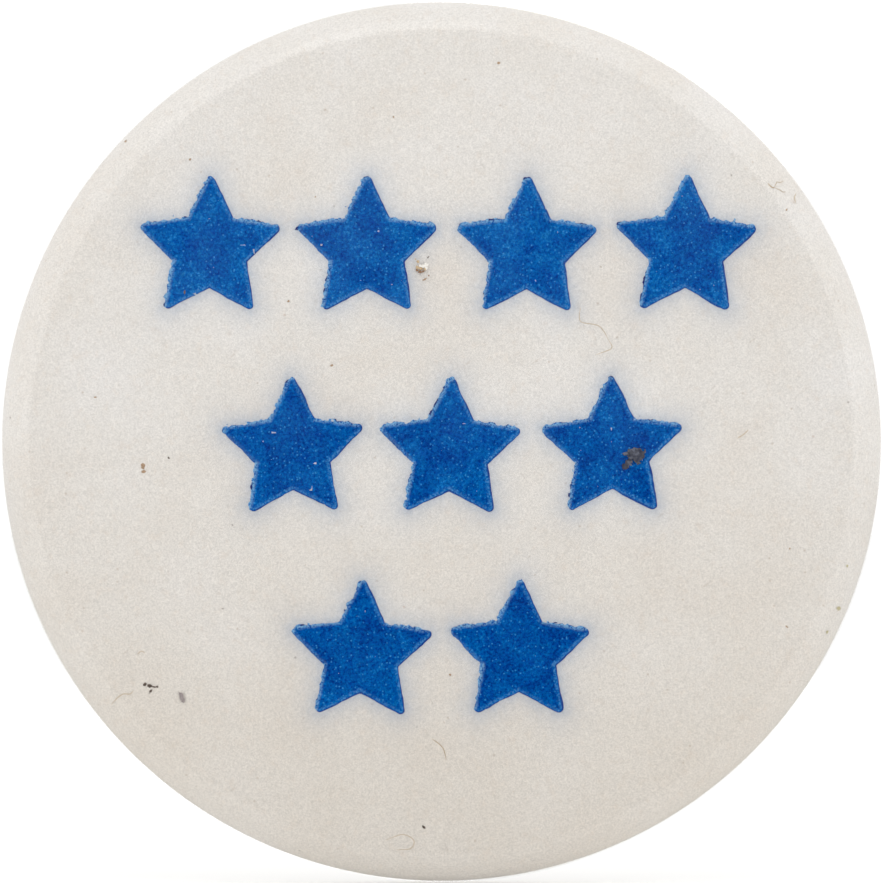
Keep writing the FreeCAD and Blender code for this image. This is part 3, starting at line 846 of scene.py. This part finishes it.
def film_look():
    """Clear film: what is behind it shows through, under a soft gloss with fine scratches."""
    look = Look("clear_celluloid")
    fine = look.noise(0.5, 3, 0.6, look.turned(0.5, (0.03, 1, 1)))
    crossed = look.noise(0.4, 3, 0.6, look.turned(-0.9, (0.04, 1, 1)))
    scratches = look.sum("MAXIMUM", look.level(fine, 0.62, 0.75), look.level(crossed, 0.63, 0.75))
    normal = look.bumps(look.sum("ADD", scratches, look.noise(1.4, 2)), 0.12, 0.01)
    cloudy = look.level(look.noise(2.5, 3), 0.3, 0.7, 0.1, 0.2)
    gloss = look.add("BsdfGlossy", {"Roughness": cloudy, "Normal": normal})
    clear = look.add("BsdfTransparent", {"Color": (0.998, 0.997, 0.992, 1)})
    slant = look.add("LayerWeight", {"Blend": 0.5, "Normal": normal}).outputs["Facing"]
    sheen = look.sum("MULTIPLY", look.sum("POWER", slant, 4.0), 0.13)
    film = look.add("MixShader", {0: look.sum("ADD", sheen, 0.032), 1: clear.outputs[0], 2: gloss.outputs[0]})
    look.feed(look.output.inputs["Surface"], film.outputs[0])
    return look.material


def tin_look(name, rolled, rust):
    """Rolled tinplate: bright and fine-lined, dulled in clouds, with freckles of rust."""
    look = Look(name)
    lines = look.noise(0.12, 4, 0.7, look.turned(rolled, (0.02, 1, 1)))
    cloud = look.noise(2.2, 4, 0.6)
    tones = ((0.3, srgb(188, 185, 179)), (0.55, srgb(203, 201, 197)), (0.75, srgb(212, 211, 208)))
    colour = look.ramp(cloud, *tones)
    colour = look.mix(look.level(lines, 0.4, 0.7, 0.0, 0.3), colour, srgb(150, 147, 141))
    scratch = look.level(look.noise(0.3, 2, 0.5, look.turned(rolled + 0.7, (0.03, 1, 1))), 0.64, 0.7)
    colour = look.mix(look.sum("MULTIPLY", scratch, 0.5), colour, srgb(226, 226, 224))
    freckles = look.specks(0.9, 0.12, rust)
    bloom = look.sum("MULTIPLY", look.level(look.noise(1.6, 5, 0.7), 0.6, 0.72), rust)
    stain = look.sum("MAXIMUM", freckles, bloom)
    colour = look.mix(look.sum("MULTIPLY", stain, 0.8), colour, srgb(112, 74, 47))
    metal = look.sum("SUBTRACT", 1.0, look.sum("MULTIPLY", stain, 0.9))
    rough = look.sum("ADD", look.level(cloud, 0.3, 0.7, 0.4, 0.26), look.sum("MULTIPLY", stain, 0.4))
    look.set(Base_Color=colour, Metallic=metal, Roughness=rough)
    grooves = look.sum("ADD", lines, look.sum("MULTIPLY", scratch, -0.6))
    look.set(Normal=look.bumps(grooves, 0.35, 0.012))
    return look.material


def liner_look():
    """The liner: plain paper, browned with age, foxed, and marked where the pin has rusted above it."""
    look = Look("browned_liner_paper")
    cloud = look.noise(3.0, 5, 0.6)
    tones = ((0.3, srgb(196, 176, 141)), (0.5, srgb(212, 196, 165)), (0.7, srgb(222, 209, 183)))
    colour = look.ramp(cloud, *tones)
    fibre = look.noise(0.1, 3, 0.7)
    colour = look.mix(look.level(fibre, 0.38, 0.7, 0.0, 0.3), colour, srgb(168, 146, 112))
    threads = look.specks(0.5, 0.05, 0.4, look.turned(0.9, (0.15, 1, 1)))
    colour = look.mix(look.sum("MULTIPLY", threads, 0.4), colour, srgb(138, 114, 84))
    foxing = look.specks(2.6, 0.3, 0.4)
    colour = look.mix(look.sum("MULTIPLY", foxing, 0.35), colour, srgb(150, 102, 58))
    beside = look.sum("ABSOLUTE", look.axis("Z"))
    shadow = look.level(look.sum("ADD", beside, look.noise(1.3, 4, 0.7)), 1.4, 0.4)
    colour = look.mix(look.sum("MULTIPLY", shadow, 0.22), colour, srgb(134, 84, 46))
    look.set(Base_Color=colour, Roughness=0.85, Specular_IOR_Level=0.1)
    look.set(Normal=look.bumps(look.sum("ADD", fibre, look.noise(0.6, 3)), 0.4, 0.03))
    return look.material


def wire_look():
    """Nickelled spring wire: drawn lengthwise, worn, with small rust freckles and a bright ground point."""
    look = Look("nickel_wire")
    along, around = look.stored("wire_along"), look.stored("wire_around")
    squeezed = {0: look.sum("MULTIPLY", along, 0.12), 1: look.sum("MULTIPLY", around, 3.5)}
    drawn_at = look.add("CombineXYZ", squeezed)
    drawn = look.noise(0.35, 4, 0.65, drawn_at.outputs[0])
    ground_at = look.add("CombineXYZ", {0: look.sum("MULTIPLY", along, 4.0), 1: around})
    ground = look.stored("wire_ground")
    grinding = look.noise(0.3, 3, 0.6, ground_at.outputs[0])
    colour = look.ramp(look.noise(1.2, 4, 0.6), (0.3, srgb(163, 158, 148)), (0.7, srgb(201, 198, 191)))
    colour = look.mix(look.level(drawn, 0.4, 0.7, 0.0, 0.35), colour, srgb(128, 123, 114))
    colour = look.mix(look.sum("MULTIPLY", ground, 0.6), colour, srgb(214, 214, 213))
    freckles = look.specks(0.55, 0.09, 0.22)
    colour = look.mix(look.sum("MULTIPLY", freckles, 0.75), colour, srgb(104, 66, 40))
    metal = look.sum("SUBTRACT", 1.0, look.sum("MULTIPLY", freckles, 0.8))
    rough = look.sum("ADD", look.level(drawn, 0.3, 0.7, 0.22, 0.36), look.sum("MULTIPLY", freckles, 0.4))
    look.set(Base_Color=colour, Metallic=metal, Roughness=rough)
    grooves = look.sum("ADD", drawn, look.sum("MULTIPLY", look.sum("MULTIPLY", grinding, ground), 1.5))
    look.set(Normal=look.bumps(grooves, 0.3, 0.012))
    return look.material


def grain_look(name, *colours, size=0.09):
    """A small mark of several colours in grains of the given size."""
    look = Look(name)
    stops = [(0.35 + 0.3 * number / (len(colours) - 1), colour) for number, colour in enumerate(colours)]
    colour = look.ramp(look.noise(size, 3, 0.7), *stops)
    look.set(Base_Color=colour, Roughness=0.7, Specular_IOR_Level=0.2)
    look.set(Normal=look.bumps(look.noise(size / 2, 3), 0.4, 0.02))
    return look.material


def floor_look():
    look = Look("pale_floor")
    soft = look.noise(60.0, 2)
    look.set(Base_Color=look.ramp(soft, (0.3, srgb(190, 190, 189)), (0.7, srgb(193, 193, 192))))
    look.set(Roughness=0.9, Specular_IOR_Level=0.1, Emission_Color=(1, 1, 1, 1), Emission_Strength=0.44)
    return look.material


# ---------------------------------------------------------------- studio


def camera():
    """Square to the face, from far enough away that the rim hardly narrows the view."""
    distance = 400.0
    margin = 1.0015  # the picture's edge lies just outside the badge's
    half_view = margin * EDGE_RADIUS
    data = bpy.data.cameras.new("photo_camera")
    data.sensor_width = 36
    data.lens = data.sensor_width / 2 * (distance + RIM_Y) / half_view
    data.clip_start, data.clip_end = 0.01, 20
    made = bpy.data.objects.new("photo_camera", data)
    made.location = (0, -distance * MM, 0)
    made.rotation_euler = (pi / 2, 0, 0)
    bpy.context.scene.collection.objects.link(made)
    bpy.context.scene.camera = made


def disc(name, centre, radius, normal, look):
    """A flat round stage piece, facing along its normal."""
    turn = Vector((0, 0, 1)).rotation_difference(Vector(normal))
    segments = 96
    points = [Vector(centre)]
    for number in range(segments):
        angle = number * 2 * pi / segments
        points.append(Vector(centre) + turn @ Vector((radius * cos(angle), radius * sin(angle), 0)))
    faces = [(0, 1 + number, 1 + (number + 1) % segments) for number in range(segments)]
    made = mesh_piece(name, points, faces, look)
    return made


def softbox(name, place, size, power):
    """A round soft light that looks at the badge's middle."""
    data = bpy.data.lights.new(name, "AREA")
    data.shape = "DISK"
    data.size = size * MM
    data.energy = power
    made = bpy.data.objects.new(name, data)
    made.location = Vector(place) * MM
    made.rotation_mode = "QUATERNION"
    made.rotation_quaternion = (-Vector(place)).to_track_quat("-Z", "Y")
    bpy.context.scene.collection.objects.link(made)


def sky(horizon, zenith, below):
    """A plain pale surround, brightest at the horizon and dimmer below it."""
    world = bpy.data.worlds.new("studio")
    world.use_nodes = True
    tree = world.node_tree
    where = tree.nodes.new("ShaderNodeTexCoord")
    split = tree.nodes.new("ShaderNodeSeparateXYZ")
    tree.links.new(where.outputs["Generated"], split.inputs[0])
    share = tree.nodes.new("ShaderNodeMapRange")
    share.inputs["From Min"].default_value = -1
    tree.links.new(split.outputs["Z"], share.inputs["Value"])
    # the ramp goes from straight down at 0 to straight up at 1, and changes just under the horizon
    ramp = tree.nodes.new("ShaderNodeValToRGB")
    elements = ramp.color_ramp.elements
    elements[0].position, elements[0].color = 0.44, (below, below, below, 1)
    elements[-1].position, elements[-1].color = 1.0, (zenith, zenith, zenith, 1)
    elements.new(0.49).color = (horizon, horizon, horizon, 1)
    tree.links.new(share.outputs["Result"], ramp.inputs["Fac"])
    tree.links.new(ramp.outputs["Color"], tree.nodes["Background"].inputs["Color"])
    bpy.context.scene.world = world


def studio():
    bpy.context.scene.view_settings.view_transform = "Standard"
    camera()
    sky(horizon=1.125, zenith=1.09, below=0.6)
    floor = disc("floor", (0, 0, -EDGE_RADIUS), radius=1500, normal=(0, 0, 1), look=floor_look())
    floor.visible_glossy = False
    card_look = Look("dark_card")
    card_look.set(Base_Color=(0.004, 0.004, 0.004, 1), Roughness=1.0, Specular_IOR_Level=0.0)
    card = disc("dark_card", (0, -420, 0), radius=330, normal=(0, 1, 0), look=card_look.material)
    card.visible_camera = card.visible_diffuse = card.visible_shadow = card.visible_transmission = False
    softbox("near_top_light", (-20, -110, 150), size=90, power=0.016)
    softbox("back_light", (50, 340, 110), size=120, power=0.15)


# ---------------------------------------------------------------- the badge

studio()

film, _ = wrapped_sheet(
    "film", 0, SHOWN_FILM, film_look(),
    outer_steps=(30, 16, 14, 10), inner_steps=(24, 12, 10, 10), segments=480,
)
paper, paper_points = wrapped_sheet(
    "paper", SHOWN_DEPTH, SHOWN_PAPER, paper_look(),
    outer_steps=(96, 14, 12, 8), inner_steps=(16, 10, 8, 8), segments=420,
)
stars = lay_out_stars()
outermost = hypot(1, 1) * EDGE_RADIUS
to_ink = np.full(len(paper_points), outermost)
for star in stars:
    to_ink = np.minimum(to_ink, star.clean(paper_points[:, 0], paper_points[:, 2]))
mark_points(paper, "ink_near", np.where(paper_points[:, 1] < 0, to_ink, outermost))
mark_points(paper, "hem", smooth_step(RIM_Y - 0.2, RIM_Y + 1.0, paper_points[:, 1]))
ink = print_stars(stars, ink_look())

for piece, node, slot in ((film, "celluloid_cover", "clear_film"), (paper, "printed_paper", "printed_paper")):
    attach(piece, "badge")
    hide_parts(node)
for piece in (ink, *marks_of_age()):
    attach(piece, "badge")

wire = wire_look()
ring, elbow, arm = spring_pin(wire)
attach(ring, "pin_ring")
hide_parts("pin_ring")
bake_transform(elbow)
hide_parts("pin_elbow")
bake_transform(arm)
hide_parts("pin_arm")

cad_looks = {
    "front_shell": tin_look("tinplate_inside", 0.3, 0.1),
    "collet_ring": tin_look("tinplate_back", -0.4, 0.22),
    "back_paper": liner_look(),
}
for node, look in cad_looks.items():
    cad_piece = frame["nodes"][node]
    cad_piece.data.materials.clear()
    cad_piece.data.materials.append(look)
